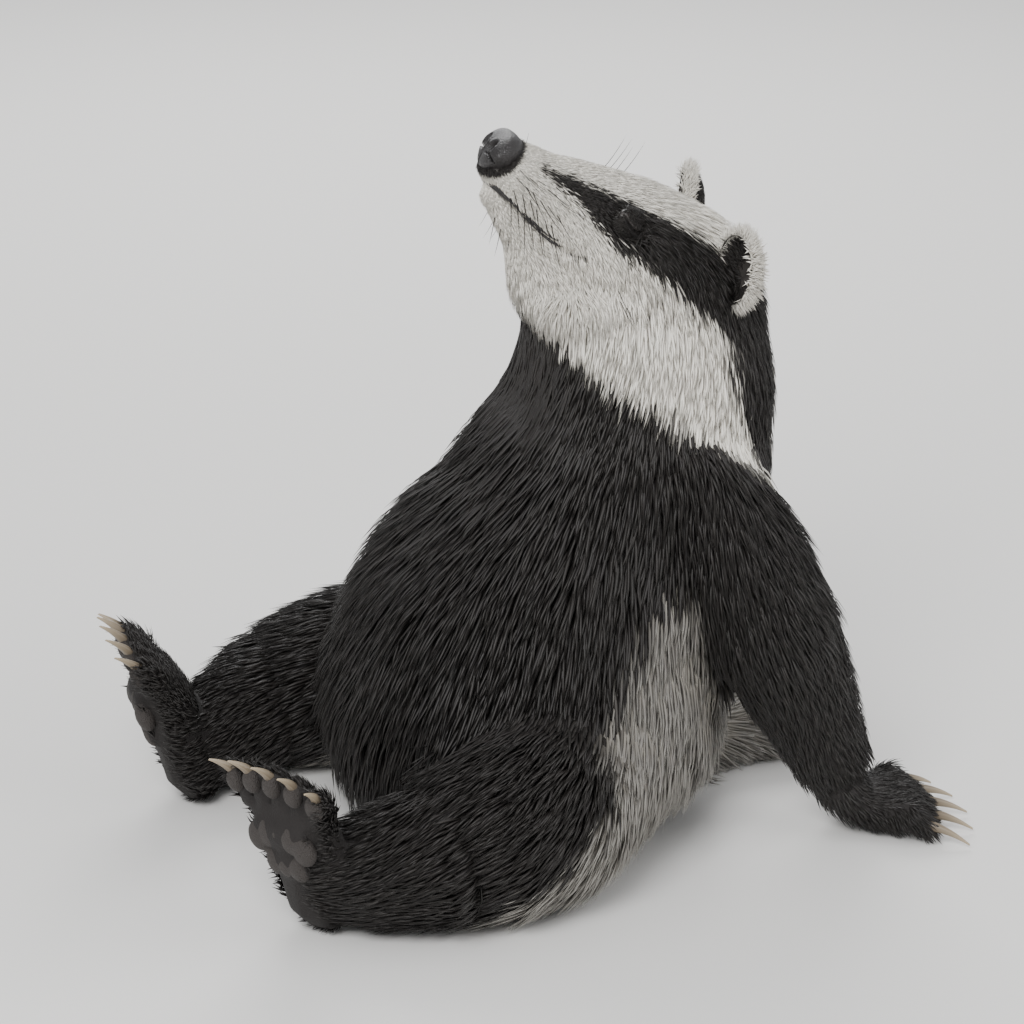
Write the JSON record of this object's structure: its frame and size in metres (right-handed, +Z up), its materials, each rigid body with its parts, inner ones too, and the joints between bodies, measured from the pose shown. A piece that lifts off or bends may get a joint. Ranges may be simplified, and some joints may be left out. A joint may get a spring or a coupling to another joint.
{
  "type": "european badger",
  "caption": "Life-size still model of a european badger sitting back on its rump, forepaws behind it, nose lifted and eyes closed.",
  "frame": {"origin": "on the floor, under the middle of the whole animal's bounding box", "axes": "+Z up, -X the way the badger faces, -Y its left side"},
  "size_m": [0.5879, 0.443, 0.5098],
  "materials": {
    "white_coat": "short dense white hair of the face",
    "grey_coat": "long coarse grizzled guard hair",
    "black_coat": "short to medium black hair",
    "nose_leather": "moist black grained skin",
    "lid_skin": "soft dark skin",
    "claw_horn": "satin worn horn"
  },
  "bodies": {
    "root": {"claw_fore_left_1": "claw_horn", "claw_fore_left_2": "claw_horn", "claw_fore_left_3": "claw_horn", "claw_fore_left_4": "claw_horn", "claw_fore_left_5": "claw_horn", "claw_fore_right_1": "claw_horn", "claw_fore_right_2": "claw_horn", "claw_fore_right_3": "claw_horn", "claw_fore_right_4": "claw_horn", "claw_fore_right_5": "claw_horn", "claw_hind_left_1": "claw_horn", "claw_hind_left_2": "claw_horn", "claw_hind_left_3": "claw_horn", "claw_hind_left_4": "claw_horn", "claw_hind_left_5": "claw_horn", "claw_hind_right_1": "claw_horn", "claw_hind_right_2": "claw_horn", "claw_hind_right_3": "claw_horn", "claw_hind_right_4": "claw_horn", "claw_hind_right_5": "claw_horn", "ear_left": "black_coat", "ear_right": "black_coat", "eye_left": "lid_skin", "eye_right": "lid_skin", "forearm_left": "black_coat", "forearm_right": "black_coat", "forepaw_left": "black_coat", "forepaw_right": "black_coat", "head": "white_coat", "hind_foot_left": "black_coat", "hind_foot_right": "black_coat", "jaw": "white_coat", "lower_torso": "grey_coat", "neck": "grey_coat", "nose": "nose_leather", "shank_left": "black_coat", "shank_right": "black_coat", "tail": "grey_coat", "thigh_left": "black_coat", "thigh_right": "black_coat", "upper_arm_left": "black_coat", "upper_arm_right": "black_coat", "upper_torso": "grey_coat"}
  },
  "joints": []
}
